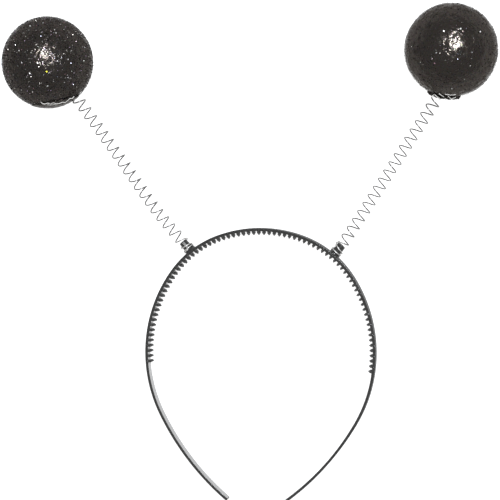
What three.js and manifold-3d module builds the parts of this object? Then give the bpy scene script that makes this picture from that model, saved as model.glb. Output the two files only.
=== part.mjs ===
// Head bopper: a toothed plastic headband with a glitter ball on a coil spring at each side.
// It lies on its side as it does on a table: the hoop flat, its crown towards +Y, and a ball
// resting at the end of each spring. Millimetres, +Z up.
import * as THREE from "three";
import { mergeVertices } from "three/addons/utils/BufferGeometryUtils.js";
import Module from "manifold-3d";

const wasm = await Module();
wasm.setup();

// Headband: tangent arcs of its outer outline, from the crown to the tip of one leg
const BAND_ARCS = [
  { radius: 70, sweepDeg: 19 },
  { radius: 56, sweepDeg: 37 },
  { radius: 78, sweepDeg: 62 },
  { radius: 145, sweepDeg: 24 },
];
const BAND_THICKNESS = 1.5;
const BAND_DEPTH = 7;
const BAND_STEP = 5;
const TIP_STEPS = 4;

// Comb teeth: points on the inner side, spaced along the outer outline. Each has a neck that is sunk
// in the band, a wide belly and a point. The rings give how far out each of these stands, as a share
// of the length, its width along the band, its size across it and the height of its middle.
const TOOTH_COUNT = 77;
const TOOTH_PITCH = 2.98;
const TOOTH_LENGTH = 2.35;
const TOOTH_RINGS = [
  { out: -0.13, width: 0.9, across: 6.8, middle: 3.5 },
  { out: 0.45, width: 1.7, across: 4.4, middle: 3.0 },
  { out: 1, width: 0.4, across: 1.2, middle: 2.3 },
];

// Pegs: moulded with the band on its outer side, one for each spring
const PEG_ROOT_DEPTH = 0.8;
const PEG_BOSS = { radius: 3.2, height: 1.0 };
const PEG_SHANK = { footRadius: 2.5, topRadius: 2.25, height: 6.7, chamfer: 0.3 };
const PEG_SEGMENTS = 24;

// Springs: wire wound closely at the peg's foot and openly from there to the ball
const WIRE_RADIUS = 0.35;
const COIL_RADIUS = 3.1;
const FOOT_GAP = 0.3;
const FOOT_TURNS = 1;
const RISING_TURNS = 1;
const SPRING_GRIP = 7;
const SPRING_SLOPE_DEG = 10;
const WIRE_SIDES = 6;
const STEPS_PER_TURN = 10;
const SAMPLES_PER_STEP = 4;

// Balls: foam spheres with a blind socket for the end of the spring
const BALL_RADIUS = 25;
const SOCKET_RADIUS = 3.8;
const SOCKET_DEPTH = 8;
const SOCKET_MOUTH = 4;
const BALL_SEGMENTS = 32;
const BALL_RINGS = 20;
const SOCKET_SEGMENTS = 24;

// Glue: a lens of set glue on the ball around the spring, clear of both
const GLUE_GAP = 0.3;
const GLUE_EDGE = 0.25;
const GLUE_BORE_RADIUS = 3.9;
const GLUE_STEPS = 5;
const GLUE_SEGMENTS = 20;

// The two boppers: the peg stands where the outline has turned by an angle and leans from +Y by
// another. The ball's centre is measured from the outer crown of the band, and the spring leans
// from +Y where it passes the centre at a sideways offset. The handles say how straight the spring
// leaves the peg and the ball, and the pitches are those of its foot, rising and open turns. The
// glue lies at its own turn from the side of the ball that faces the band.
const BOPPERS = [
  { name: "left", side: -1,
    peg: { turnDeg: 40.2, leanDeg: 45 },
    ball: { centre: [-119.3, 87.5], leanDeg: 36.7, offset: 1.4 },
    spring: { pegHandle: 38.6, ballHandle: 86, footPitch: 0.9, risingPitch: 4.0, openPitch: 5.3 },
    glue: { turnDeg: 12, dropDeg: 4, spreadDeg: 31, height: 0.5 } },
  { name: "right", side: 1,
    peg: { turnDeg: 38.4, leanDeg: 39 },
    ball: { centre: [101.0, 99.7], leanDeg: 32.5, offset: 8.1 },
    spring: { pegHandle: 15.5, ballHandle: 78.5, footPitch: 1.4, risingPitch: 5.9, openPitch: 5.4 },
    glue: { turnDeg: -8, dropDeg: 10, spreadDeg: 18, height: 1.3 } },
];

const MATERIALS = {
  band: { color: 0x262625, roughness: 0.35, metalness: 0 },
  spring: { color: 0xb4b4b2, roughness: 0.3, metalness: 1 },
  ball: { color: 0x2e2a27, roughness: 0.45, metalness: 0.2 },
  glue: { color: 0x3a3632, roughness: 0.3, metalness: 0.1 },
};

const MERGE_DISTANCE = 1e-4;
const radians = THREE.MathUtils.degToRad;
const UP = new THREE.Vector3(0, 0, 1);
const LATHE_AXIS = new THREE.Vector3(0, 1, 0);
const bandHalfLength = BAND_ARCS.reduce((sum, arc) => sum + arc.radius * radians(arc.sweepDeg), 0);

// A closed solid from a geometry, with its shared vertices merged
function solidOf(geometry) {
  const bare = geometry.index ? geometry.toNonIndexed() : geometry.clone();
  bare.deleteAttribute("normal");
  bare.deleteAttribute("uv");
  const merged = mergeVertices(bare, MERGE_DISTANCE);
  const vertProperties = Float32Array.from(merged.attributes.position.array);
  const triVerts = Uint32Array.from(merged.index.array);
  return new wasm.Manifold(new wasm.Mesh({ numProp: 3, vertProperties, triVerts }));
}

// A geometry from a solid, with its normals worked out
function geometryOf(solid) {
  const mesh = solid.getMesh();
  const geometry = new THREE.BufferGeometry();
  geometry.setAttribute("position", new THREE.BufferAttribute(Float32Array.from(mesh.vertProperties), 3));
  geometry.setIndex(new THREE.BufferAttribute(Uint32Array.from(mesh.triVerts), 1));
  geometry.computeVertexNormals();
  return geometry;
}

function namedMesh(name, geometry, finish) {
  const mesh = new THREE.Mesh(geometry, new THREE.MeshStandardMaterial(finish));
  mesh.name = name;
  return mesh;
}

// Turns a geometry that stands on +Y so that it stands along a direction at a place
function standAlong(geometry, direction, place) {
  const turn = new THREE.Quaternion().setFromUnitVectors(LATHE_AXIS, direction);
  geometry.applyQuaternion(turn);
  geometry.translate(place.x, place.y, place.z);
  return geometry;
}

// Point of the band at a signed length along its outer outline, moved inwards by an inset
function bandPoint(length, inset) {
  const side = length < 0 ? -1 : 1;
  let left = Math.abs(length);
  let heading = 0;
  let x = 0;
  let y = 0;
  for (const arc of BAND_ARCS) {
    const turn = Math.min(left / arc.radius, radians(arc.sweepDeg));
    x += arc.radius * (Math.sin(heading + turn) - Math.sin(heading));
    y += arc.radius * (Math.cos(heading + turn) - Math.cos(heading));
    heading += turn;
    left -= turn * arc.radius;
  }
  x -= inset * Math.sin(heading);
  y -= inset * Math.cos(heading);
  return new THREE.Vector2(side * x, y);
}

// Length along the outer outline at which it has turned by an angle from the crown
function lengthAtTurn(turnDeg) {
  let left = turnDeg;
  let length = 0;
  for (const arc of BAND_ARCS) {
    const turn = Math.min(left, arc.sweepDeg);
    length += arc.radius * radians(turn);
    left -= turn;
  }
  return length;
}

// Round end of a leg, from the outer side to the inner side
function tipPoints(side) {
  const outer = bandPoint(side * bandHalfLength, 0);
  const inner = bandPoint(side * bandHalfLength, BAND_THICKNESS);
  const middle = outer.clone().add(inner).divideScalar(2);
  const arm = outer.clone().sub(middle);
  const points = [];
  for (let step = 1; step < TIP_STEPS; step += 1) {
    const turn = (-side * Math.PI * step) / TIP_STEPS;
    points.push(arm.clone().rotateAround(new THREE.Vector2(), turn).add(middle));
  }
  return side > 0 ? points : points.reverse();
}

// Outline of the plain band, without its teeth
function bandOutline() {
  const outer = [];
  const inner = [];
  const steps = Math.round((2 * bandHalfLength) / BAND_STEP);
  for (let step = 0; step <= steps; step += 1) {
    const length = bandHalfLength * ((2 * step) / steps - 1);
    outer.push(bandPoint(length, 0));
    inner.push(bandPoint(length, BAND_THICKNESS));
  }
  const points = [...outer, ...tipPoints(1), ...inner.reverse(), ...tipPoints(-1)];
  return new THREE.Shape(points.reverse());
}

// One tooth, as the hull of its rings' corners
function tooth(middle) {
  const corners = [];
  for (const ring of TOOTH_RINGS) {
    const inset = BAND_THICKNESS + ring.out * TOOTH_LENGTH;
    for (const side of [-1, 1]) {
      const place = bandPoint(middle + (side * ring.width) / 2, inset);
      for (const rim of [-1, 1]) {
        corners.push([place.x, place.y, ring.middle + (rim * ring.across) / 2]);
      }
    }
  }
  return wasm.Manifold.hull(corners);
}

// Foot of a peg on the outer side of the band, and the direction in which the peg stands
function pegSeat(row) {
  const foot = bandPoint(row.side * lengthAtTurn(row.peg.turnDeg), 0);
  const lean = radians(row.peg.leanDeg);
  return {
    foot: new THREE.Vector3(foot.x, foot.y, BAND_DEPTH / 2),
    direction: new THREE.Vector3(row.side * Math.sin(lean), Math.cos(lean), 0),
  };
}

function pegGeometry(row) {
  const { footRadius, topRadius, height, chamfer } = PEG_SHANK;
  const profile = [
    new THREE.Vector2(0, -PEG_ROOT_DEPTH),
    new THREE.Vector2(PEG_BOSS.radius, -PEG_ROOT_DEPTH),
    new THREE.Vector2(PEG_BOSS.radius, PEG_BOSS.height),
    new THREE.Vector2(footRadius, PEG_BOSS.height),
    new THREE.Vector2(topRadius, height - chamfer),
    new THREE.Vector2(topRadius - chamfer, height),
    new THREE.Vector2(0, height),
  ];
  const seat = pegSeat(row);
  return standAlong(new THREE.LatheGeometry(profile, PEG_SEGMENTS), seat.direction, seat.foot);
}

function headband() {
  const strip = new THREE.ExtrudeGeometry(bandOutline(), { depth: BAND_DEPTH, bevelEnabled: false });
  const solids = [solidOf(strip), ...BOPPERS.map((row) => solidOf(pegGeometry(row)))];
  const lastTooth = (TOOTH_PITCH * (TOOTH_COUNT - 1)) / 2;
  for (let order = 0; order < TOOTH_COUNT; order += 1) {
    solids.push(tooth(lastTooth - order * TOOTH_PITCH));
  }
  return namedMesh("headband", geometryOf(wasm.Manifold.union(solids)), MATERIALS.band);
}

// Places that the spring, ball and glue of one bopper share
function layoutOf(row) {
  const lean = radians(row.ball.leanDeg);
  const slope = radians(SPRING_SLOPE_DEG);
  const centre = new THREE.Vector3(row.ball.centre[0], row.ball.centre[1], BALL_RADIUS);
  const inward = new THREE.Vector3(
    row.side * Math.sin(lean) * Math.cos(slope),
    Math.cos(lean) * Math.cos(slope),
    Math.sin(slope),
  );
  const sideways = inward.clone().cross(UP).normalize();
  const { offset } = row.ball;
  const reach = Math.sqrt(BALL_RADIUS ** 2 - offset ** 2);
  const entry = centre.clone().addScaledVector(sideways, offset).addScaledVector(inward, -reach);
  return { centre, inward, entry };
}

// Middle line of a spring, from the foot of its peg into the socket of its ball
function springAxis(row) {
  const seat = pegSeat(row);
  const { entry, inward } = layoutOf(row);
  const end = entry.clone().addScaledVector(inward, SPRING_GRIP);
  return new THREE.CubicBezierCurve3(
    seat.foot,
    seat.foot.clone().addScaledVector(seat.direction, row.spring.pegHandle),
    end.clone().addScaledVector(inward, -row.spring.ballHandle),
    end,
  );
}

// The wire's own line: a helix about the spring's axis, close at the foot and open above it
class WireLine extends THREE.Curve {
  constructor(row) {
    super();
    const { footPitch, risingPitch, openPitch } = row.spring;
    this.axis = springAxis(row);
    this.length = this.axis.getLength();
    this.start = PEG_BOSS.height + FOOT_GAP + WIRE_RADIUS;
    const closed = FOOT_TURNS * footPitch + RISING_TURNS * risingPitch;
    const openTurns = (this.length - this.start - closed) / openPitch;
    this.stages = [
      { turns: FOOT_TURNS, pitch: footPitch },
      { turns: RISING_TURNS, pitch: risingPitch },
      { turns: openTurns, pitch: openPitch },
    ];
    this.turns = FOOT_TURNS + RISING_TURNS + openTurns;
  }

  getPoint(t, target = new THREE.Vector3()) {
    const turned = t * this.turns;
    let left = turned;
    let along = this.start;
    for (const stage of this.stages) {
      const part = Math.min(left, stage.turns);
      along += part * stage.pitch;
      left -= part;
    }
    const u = Math.min(along / this.length, 1);
    const ahead = this.axis.getTangentAt(u);
    const across = ahead.clone().cross(UP).normalize();
    const above = across.clone().cross(ahead);
    const angle = 2 * Math.PI * turned;
    return target.copy(this.axis.getPointAt(u))
      .addScaledVector(across, COIL_RADIUS * Math.cos(angle))
      .addScaledVector(above, COIL_RADIUS * Math.sin(angle));
  }
}

function spring(row) {
  const line = new WireLine(row);
  const steps = Math.round(line.turns * STEPS_PER_TURN);
  line.arcLengthDivisions = steps * SAMPLES_PER_STEP;
  const section = [];
  for (let corner = 0; corner < WIRE_SIDES; corner += 1) {
    const turn = (2 * Math.PI * corner) / WIRE_SIDES;
    section.push(new THREE.Vector2(WIRE_RADIUS * Math.cos(turn), WIRE_RADIUS * Math.sin(turn)));
  }
  const wire = new THREE.ExtrudeGeometry(new THREE.Shape(section), { steps, extrudePath: line });
  return namedMesh(`spring_${row.name}`, wire, MATERIALS.spring);
}

// A round bar along a spring's last stretch, from outside the ball to a depth inside it
function entryBar(row, radius, depth) {
  const { entry, inward } = layoutOf(row);
  const length = depth + SOCKET_MOUTH;
  const middle = entry.clone().addScaledVector(inward, (depth - SOCKET_MOUTH) / 2);
  const bar = new THREE.CylinderGeometry(radius, radius, length, SOCKET_SEGMENTS);
  return solidOf(standAlong(bar, inward, middle));
}

function ball(row) {
  const { centre } = layoutOf(row);
  const sphere = new THREE.SphereGeometry(BALL_RADIUS, BALL_SEGMENTS, BALL_RINGS);
  sphere.translate(centre.x, centre.y, centre.z);
  const foam = solidOf(sphere).subtract(entryBar(row, SOCKET_RADIUS, SOCKET_DEPTH));
  return namedMesh(`ball_${row.name}`, geometryOf(foam), MATERIALS.ball);
}

function glue(row) {
  const { centre } = layoutOf(row);
  const turn = radians(row.glue.turnDeg);
  const drop = radians(row.glue.dropDeg);
  const spread = radians(row.glue.spreadDeg);
  const outward = new THREE.Vector3(
    Math.sin(turn) * Math.cos(drop),
    -Math.cos(turn) * Math.cos(drop),
    -Math.sin(drop),
  );
  const inner = BALL_RADIUS + GLUE_GAP;
  const profile = [];
  for (let step = 0; step <= GLUE_STEPS; step += 1) {
    const angle = (spread * step) / GLUE_STEPS;
    profile.push(new THREE.Vector2(inner * Math.sin(angle), inner * Math.cos(angle)));
  }
  for (let step = GLUE_STEPS; step >= 0; step -= 1) {
    const share = step / GLUE_STEPS;
    const outer = inner + GLUE_EDGE + row.glue.height * (1 - share ** 2);
    profile.push(new THREE.Vector2(outer * Math.sin(spread * share), outer * Math.cos(spread * share)));
  }
  const lens = standAlong(new THREE.LatheGeometry(profile, GLUE_SEGMENTS), outward, centre);
  const bored = solidOf(lens).subtract(entryBar(row, GLUE_BORE_RADIUS, SOCKET_DEPTH));
  return namedMesh(`glue_${row.name}`, geometryOf(bored), MATERIALS.glue);
}

const bopper = new THREE.Group();
bopper.add(headband());
for (const row of BOPPERS) {
  bopper.add(spring(row), ball(row), glue(row));
}

// The origin is under the middle of the whole thing, on the surface that it lies on
const extent = new THREE.Box3().setFromObject(bopper);
const middle = extent.getCenter(new THREE.Vector3());
bopper.position.set(-middle.x, -middle.y, -extent.min.z);

export default bopper;
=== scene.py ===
"""Head bopper: the finished surfaces of a toothed headband with a glitter ball on a coil spring at
each side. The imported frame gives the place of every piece, and the pieces are modelled around it."""

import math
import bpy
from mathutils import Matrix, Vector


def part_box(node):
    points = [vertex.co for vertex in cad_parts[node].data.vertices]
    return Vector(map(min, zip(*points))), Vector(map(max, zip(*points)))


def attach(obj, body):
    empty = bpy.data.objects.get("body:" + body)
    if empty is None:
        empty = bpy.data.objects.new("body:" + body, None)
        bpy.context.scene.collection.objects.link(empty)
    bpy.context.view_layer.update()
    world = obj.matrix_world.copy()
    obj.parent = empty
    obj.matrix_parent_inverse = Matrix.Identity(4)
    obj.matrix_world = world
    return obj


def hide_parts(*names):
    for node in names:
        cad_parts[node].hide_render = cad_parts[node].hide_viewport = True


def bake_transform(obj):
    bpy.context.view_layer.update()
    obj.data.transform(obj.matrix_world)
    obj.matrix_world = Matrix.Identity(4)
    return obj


bl_info = {
    "name": "Head bopper",
    "version": (1, 0, 0),
    "blender": (4, 5, 0),
    "location": "View3D > Sidebar > Bopper",
    "description": "Models a head bopper's headband, springs, glitter balls and glue on their frame",
    "category": "Object",
}

from collections import namedtuple
from math import radians
from types import SimpleNamespace as Row

import bmesh
import bpy
import numpy as np
from mathutils import Matrix, Vector, noise

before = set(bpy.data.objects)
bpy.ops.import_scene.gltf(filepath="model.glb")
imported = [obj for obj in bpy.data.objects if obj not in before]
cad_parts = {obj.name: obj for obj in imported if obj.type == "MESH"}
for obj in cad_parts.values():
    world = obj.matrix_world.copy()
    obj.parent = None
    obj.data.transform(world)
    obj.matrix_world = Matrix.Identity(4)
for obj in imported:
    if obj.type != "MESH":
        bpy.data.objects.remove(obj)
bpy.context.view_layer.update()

MM = 0.001
UP = Vector((0.0, 0.0, 1.0))
WELD = 0.001 * MM
FULL_TURN = 2 * math.pi
ROUND = 0.5
FLAT = 0.9
SQUARE = 0.99
KEEP_MATERIAL = -1
# Material of the pale glue strings, whose pale colour is a painted highlight
PAINTED_HIGHLIGHT_GLUE = 1
EDGE_STEPS = 2

# Sockets of a colour Mix node, which share their names with its other kinds
MIX_SHARE = 0
MIX_FIRST = 6
MIX_SECOND = 7
MIX_COLOUR = 2

# Outer outline of the headband: tangent arcs from the crown to the tip of one leg
BAND_ARCS = (
    Row(radius=70 * MM, sweep=radians(19)),
    Row(radius=56 * MM, sweep=radians(37)),
    Row(radius=78 * MM, sweep=radians(62)),
    Row(radius=145 * MM, sweep=radians(24)),
)
LEG_TIP_STEPS = 4
LEG_TIP_SPARE = 0.01 * MM
BAND_HALF_LENGTH = sum(arc.radius * arc.sweep for arc in BAND_ARCS)
BAND_LOW, BAND_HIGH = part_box("headband")
BAND_DEPTH = BAND_HIGH.z - BAND_LOW.z
CROWN = Vector(((BAND_LOW.x + BAND_HIGH.x) / 2, BAND_HIGH.y, BAND_LOW.z))

# Finishes of the moulding, in the order of its materials: how rough and how shiny each one is, and
# how much clear skin lies over it
FINISHES = (
    Row(name="satin", roughness=0.16, shine=0.3, skin=0.0),
    Row(name="spark_eroded", roughness=0.5, shine=0.3, skin=0.0),
    Row(name="polished", roughness=0.24, shine=0.5, skin=0.7),
)
SATIN, ERODED, POLISHED = range(len(FINISHES))

# Comb teeth: how far out each ring of a tooth stands, as a share of its length, with its width along
# the band, its size across it and the height of its middle
TOOTH_RINGS = (
    Row(out=0.45, width=1.7 * MM, across=4.4 * MM, middle=3.0 * MM),
    Row(out=1.0, width=0.4 * MM, across=1.2 * MM, middle=2.3 * MM),
)
TOOTH_POINT = 0.42

# Pegs: half profile of one peg, from its root in the band to the dimple in its top
PEG_PROFILE = (
    Row(radius=0.0, height=-0.8 * MM),
    Row(radius=3.2 * MM, height=-0.8 * MM),
    Row(radius=3.2 * MM, height=1.0 * MM),
    Row(radius=2.65 * MM, height=1.0 * MM),
    Row(radius=2.25 * MM, height=6.7 * MM),
    Row(radius=1.2 * MM, height=6.7 * MM),
    Row(radius=0.9 * MM, height=6.4 * MM),
    Row(radius=0.0, height=6.4 * MM),
)
PEG_STEPS = 40
PEG_CORNER = radians(35)
PEG_ROUND = 0.22 * MM
PEG_ROUND_STEPS = 3

# Springs: turns of wire from the foot of the peg to the ball, and the straight tail on the peg
SPRING_FOOT = 1.65 * MM
FOOT_TURNS = 1
RISING_TURNS = 1
# Painted highlight: the turns up to this length along the coil get a paler colour, fading out over the
# next stretch
HIGHLIGHT_PAINTED_TO = 7 * MM
HIGHLIGHT_PAINTED_FADE = 2 * MM
SPRING_GRIP = 7 * MM
SPRING_SLOPE = radians(10)
AXIS_SAMPLES = 600
TAIL_REACH = 2.38 * MM
TAIL_BEND = 0.6 * MM
TAIL_BEND_STEPS = 6
TAIL_FOOT = 1.32 * MM

# The two boppers: where the peg stands and how it leans, how the spring leans and passes the ball's
# centre, how straight it leaves peg and ball, the pitch of its turns and how far they tip over, where
# the wire's tail lies on the peg, how the ball is coated, and where its glue lies
BOPPERS = {
    "left": Row(
        side=-1, peg_turn=radians(40.2), peg_lean=radians(45),
        lean=radians(36.7), offset=1.4 * MM,
        peg_handle=38.6 * MM, ball_handle=86 * MM,
        foot_pitch=0.9 * MM, rising_pitch=4.0 * MM, open_pitch=5.3 * MM, turn_lean=-0.1,
        tail_turns=0.75, tail_top=6.1 * MM,
        flakes=20000, loose=0.5, bright=0.035, lump=0.13 * MM, lump_width=2.6 * MM,
        gleam=0.55 * MM, gleam_place=3.0, sparkle=0.3, seed=11,
        glue_turn=radians(12), glue_drop=radians(4), glue_spread=radians(31),
        glue_height=0.35 * MM, glue_lump=0.2 * MM, glue_ragged=0.07,
    ),
    "right": Row(
        side=1, peg_turn=radians(38.4), peg_lean=radians(39),
        lean=radians(32.5), offset=8.1 * MM,
        peg_handle=15.5 * MM, ball_handle=78.5 * MM,
        foot_pitch=1.4 * MM, rising_pitch=5.9 * MM, open_pitch=5.4 * MM, turn_lean=0.25,
        tail_turns=0.5, tail_top=7.7 * MM,
        flakes=8000, loose=0.1, bright=0.004, lump=0.2 * MM, lump_width=3.2 * MM,
        gleam=0.7 * MM, gleam_place=3.0, sparkle=0.08, seed=23,
        glue_turn=radians(-8), glue_drop=radians(10), glue_spread=radians(18),
        glue_height=1.2 * MM, glue_lump=1.1 * MM, glue_ragged=0.3,
    ),
}

# Glitter: tints of the dark flakes, of which the film shows black, brown, violet or green, and of
# the few bright ones
DARK_TINTS = ("3a3836", "423f3c", "443c40", "3c3c42", "3a3b38", "494643")
BRIGHT_TINTS = ("d8d6d2", "c8c6c4", "8f8c88", "b7a0bd", "a77f8a", "b4b2ae", "75716c")

Flake = namedtuple("Flake", "right up size_mm hex")

# Single large flakes that lie square to the light: their place on the ball's face as seen from the
# front, in shares of its radius, with their size and tint
LARGE_FLAKES = {
    "left": (
        Flake(-0.02, -0.20, 0.44, "343108"),
        Flake(-0.38, -0.24, 0.42, "302f2e"),
        Flake(-0.55, -0.01, 0.38, "1e1d1d"),
        Flake(-0.61, 0.25, 0.36, "282726"),
        Flake(-0.37, 0.78, 0.34, "20201f"),
        Flake(-0.40, 0.69, 0.30, "191918"),
        Flake(-0.09, 0.85, 0.30, "171717"),
        Flake(0.19, 0.63, 0.40, "1c1b1b"),
        Flake(0.44, 0.06, 0.38, "232222"),
        Flake(0.57, -0.23, 0.34, "1e1a1c"),
        Flake(0.44, -0.33, 0.34, "1a1919"),
        Flake(0.81, 0.32, 0.30, "1c1b1b"),
        Flake(-0.40, -0.52, 0.32, "1a1919"),
        Flake(0.00, -0.51, 0.40, "20201f"),
        Flake(-0.21, -0.02, 0.46, "302f2e"),
        Flake(0.21, 0.03, 0.42, "282726"),
    ),
    "right": (
        Flake(-0.16, 0.39, 0.52, "302f2e"),
        Flake(0.19, 0.44, 0.50, "20201f"),
        Flake(0.60, 0.38, 0.42, "1e1d1d"),
        Flake(0.43, -0.05, 0.40, "161616"),
        Flake(-0.31, -0.06, 0.38, "141414"),
        Flake(-0.64, -0.26, 0.34, "11110f"),
        Flake(0.02, -0.81, 0.40, "171716"),
        Flake(-0.34, -0.28, 0.36, "160f11"),
    ),
}
FLAKE_SIDES = 6
FLAKE_POINTS = FLAKE_SIDES + 1
FLAKE_DEPTH = 0.05 * MM
FLAKE_CELL = 0.45
BAKE_MAP = "OFBake"
FLAKE_CLEAR = 0.35 * MM
DIMPLE_WIDTH = 4.2 * MM
DIMPLE_DEPTH = 1.6 * MM

GluePoint = namedtuple("GluePoint", "share depth rise")

# Glue: half profile of a bead with a steep rolled edge. The depth is below the ball's surface, and
# the rise is a share of the bead's height.
GLUE_PROFILE = (
    GluePoint(0.0, 0.6 * MM, 0.0),
    GluePoint(0.5, 0.6 * MM, 0.0),
    GluePoint(0.92, 0.6 * MM, 0.0),
    GluePoint(1.0, 0.5 * MM, 0.0),
    GluePoint(1.01, 0.1 * MM, 0.0),
    GluePoint(1.01, 0.0, 0.4),
    GluePoint(1.0, 0.0, 0.7),
    GluePoint(0.98, 0.0, 0.9),
    GluePoint(0.94, 0.0, 1.0),
    GluePoint(0.88, 0.0, 0.98),
    GluePoint(0.76, 0.0, 0.86),
    GluePoint(0.6, 0.0, 0.82),
    GluePoint(0.4, 0.0, 0.86),
    GluePoint(0.2, 0.0, 0.92),
    GluePoint(0.0, 0.0, 0.95),
)
GLUE_STEPS = 120
GLUE_FRAY = 0.4
GLUE_FRAY_OFTEN = 3

# Strings of glue that were drawn out and set on each ball, pale so that they paint the highlight along
# the glue's edge: thickness, and places as seen from the front, right and up from the ball's centre in
# shares of its radius
HIGHLIGHT_GLUE_STRINGS = {
    "left": (
        Row(radius=0.2 * MM, places=(
            (-0.15, -0.86), (-0.11, -0.90), (-0.06, -0.905), (0.0, -0.885), (0.06, -0.905),
            (0.12, -0.875), (0.18, -0.90), (0.25, -0.895), (0.31, -0.868), (0.38, -0.875),
            (0.44, -0.82), (0.49, -0.785), (0.53, -0.79), (0.57, -0.745))),
        Row(radius=0.14 * MM, places=((-0.02, -0.92), (0.05, -0.93), (0.13, -0.915), (0.2, -0.93))),
    ),
    "right": (
        Row(radius=0.22 * MM, places=((-0.42, -1.0), (-0.35, -0.94), (-0.29, -0.99), (-0.22, -1.04))),
        Row(radius=0.2 * MM, places=((-0.25, -0.92), (-0.15, -0.99), (-0.10, -1.06))),
        Row(radius=0.22 * MM, places=((-0.06, -0.97), (0.01, -1.04), (0.10, -1.0))),
        Row(radius=0.16 * MM, places=((-0.12, -0.93), (0.0, -0.95), (0.10, -0.94))),
    ),
}
STRING_LIFT = 1.015
STRING_EDGE = 0.12
STRING_STEPS = 5
STRING_SIDES = 8

# Camera: the photograph's line of sight, the point that it looks at and its field of view
SIGHT = Vector((0.1628, 0.0660, 0.98445))
SIGHT_UP = Vector((-0.03005, 0.99955, 0.0))
LOOK_AT = Vector((1.085 * MM, 1.065 * MM, 0.0))
SIGHT_DISTANCE = 1.2
IMAGE_WIDTH = 500
FOCAL_PIXELS = 2169
SENSOR_WIDTH = 36.0
GROUND_DROP = 0.1 * MM


def linear(hex_colour):
    """Linear colour of an sRGB hex value."""
    shares = [int(hex_colour[place:place + 2], 16) / 255 for place in (0, 2, 4)]
    return tuple(s / 12.92 if s <= 0.04045 else ((s + 0.055) / 1.055) ** 2.4 for s in shares)


def settings_of(context):
    return context.scene.bopper


# Places on the band and along the springs

def band_point(length, inset):
    """Place at a signed length along the band's outer outline, moved inwards by an inset."""
    side = -1 if length < 0 else 1
    left = abs(length)
    heading = 0.0
    x = 0.0
    y = 0.0
    for arc in BAND_ARCS:
        turn = min(left / arc.radius, arc.sweep)
        x += arc.radius * (math.sin(heading + turn) - math.sin(heading))
        y += arc.radius * (math.cos(heading + turn) - math.cos(heading))
        heading += turn
        left -= turn * arc.radius
    x += left * math.cos(heading) - inset * math.sin(heading)
    y -= left * math.sin(heading) + inset * math.cos(heading)
    return CROWN + Vector((side * x, y, 0.0))


def length_at_turn(turn):
    """Length along the outer outline at which it has turned by an angle from the crown."""
    length = 0.0
    for arc in BAND_ARCS:
        part = min(turn, arc.sweep)
        length += arc.radius * part
        turn -= part
    return length


def peg_seat(name):
    """Foot of a peg on the band's outer side, and the direction in which it stands."""
    row = BOPPERS[name]
    foot = band_point(row.side * length_at_turn(row.peg_turn), 0.0)
    foot.z += BAND_DEPTH / 2
    return foot, Vector((row.side * math.sin(row.peg_lean), math.cos(row.peg_lean), 0.0))


def ball_seat(name):
    """Centre and radius of a ball of the frame."""
    low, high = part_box(f"ball_{name}")
    return (low + high) / 2, (high.x - low.x) / 2


def spring_entry(name):
    """Place where a spring goes into its ball, and its direction there."""
    row = BOPPERS[name]
    centre, radius = ball_seat(name)
    flat = math.cos(SPRING_SLOPE)
    inward = Vector((
        row.side * math.sin(row.lean) * flat,
        math.cos(row.lean) * flat,
        math.sin(SPRING_SLOPE),
    ))
    sideways = inward.cross(UP).normalized()
    reach = math.sqrt(radius ** 2 - row.offset ** 2)
    return centre + sideways * row.offset - inward * reach, inward


def spring_axis(name):
    """Four handles of the middle line of a spring, from the peg's foot to its end in the ball."""
    row = BOPPERS[name]
    foot, direction = peg_seat(name)
    entry, inward = spring_entry(name)
    end = entry + inward * SPRING_GRIP
    handles = (foot, foot + direction * row.peg_handle, end - inward * row.ball_handle, end)
    return np.array([tuple(handle) for handle in handles])


def on_axis(handles, shares):
    """Places and directions on a spring's middle line at shares of its parameter."""
    t = shares[:, None]
    rest = 1 - t
    a, b, c, d = handles
    places = rest ** 3 * a + 3 * rest ** 2 * t * b + 3 * rest * t ** 2 * c + t ** 3 * d
    ahead = 3 * (rest ** 2 * (b - a) + 2 * rest * t * (c - b) + t ** 2 * (d - c))
    return places, unit_rows(ahead)


def axis_lengths(handles):
    """Parameter shares along a spring's middle line, and the length reached at each."""
    shares = np.linspace(0.0, 1.0, AXIS_SAMPLES)
    places, _ = on_axis(handles, shares)
    steps = np.linalg.norm(np.diff(places, axis=0), axis=1)
    return shares, np.concatenate([[0.0], np.cumsum(steps)])


# The photograph's line of sight and the key light

def sight_axes():
    """Directions to the image's right, to its top and towards the camera."""
    right = SIGHT_UP.cross(SIGHT).normalized()
    return right, SIGHT.cross(right).normalized(), SIGHT.normalized()


def key_direction(stage):
    """Direction towards the key light."""
    right, up, sight = sight_axes()
    ahead = math.sqrt(1 - stage.key_right ** 2 - stage.key_up ** 2)
    return right * stage.key_right + up * stage.key_up + sight * ahead


def ball_axes(name):
    """Directions to the right, up and towards the camera as a ball is seen."""
    right, _, _ = sight_axes()
    ahead = view_of_ball(name)
    right = (right - ahead * right.dot(ahead)).normalized()
    return right, ahead.cross(right), ahead


def seen_on_ball(name, right_share, up_share):
    """Direction from a ball's centre to a place on its face, given in shares of the seen radius."""
    right, up, ahead = ball_axes(name)
    depth = math.sqrt(1 - right_share ** 2 - up_share ** 2)
    return right * right_share + up * up_share + ahead * depth


def view_of_ball(name):
    """Direction from a ball's centre to the camera."""
    centre, _ = ball_seat(name)
    return (LOOK_AT + SIGHT.normalized() * SIGHT_DISTANCE - centre).normalized()


# Meshes and materials

def finished_piece(bm, name, materials):
    """Turns a bmesh into a smooth-shaded object at the origin."""
    if not bm.faces:
        raise RuntimeError(f"{name} has no faces")
    mesh = bpy.data.meshes.new(name)
    bm.to_mesh(mesh)
    bm.free()
    for material in materials:
        mesh.materials.append(material)
    mesh.shade_smooth()
    piece = bpy.data.objects.new(name, mesh)
    bpy.context.scene.collection.objects.link(piece)
    return piece


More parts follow.
